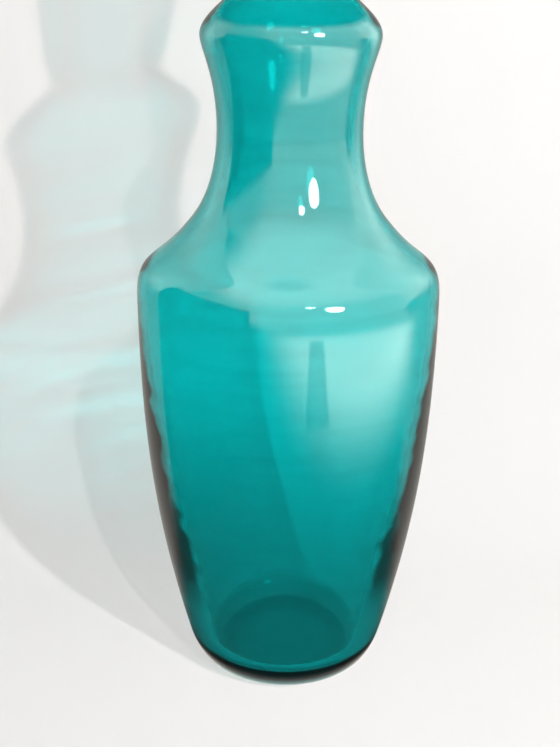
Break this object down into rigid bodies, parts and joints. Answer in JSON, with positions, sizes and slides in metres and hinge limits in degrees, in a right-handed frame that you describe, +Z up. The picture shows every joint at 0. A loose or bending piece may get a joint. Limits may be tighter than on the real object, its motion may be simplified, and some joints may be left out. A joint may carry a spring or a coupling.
{
  "type": "glass bottle",
  "caption": "Tall hand-blown teal glass bottle with a tapering body, round shoulder, waisted neck, bulge and cup mouth, closed by a hollow ball stopper that lifts out.",
  "frame": {"origin": "centre of the ring that the bottle stands on, at table height", "axes": "+Z up along the bottle's axis; the picture looks along +Y"},
  "size_m": [0.13, 0.13, 0.3678],
  "materials": {
    "teal_glass": "clear, fire-polished"
  },
  "bodies": {
    "bottle": {"bottle": "teal_glass"},
    "stopper": {"stopper": "teal_glass"}
  },
  "joints": [
    {"name": "stopper_lift", "type": "slide", "parent": "bottle", "child": "stopper", "axis": [0, 0, 1], "range_m": [0, 0.06]}
  ]
}
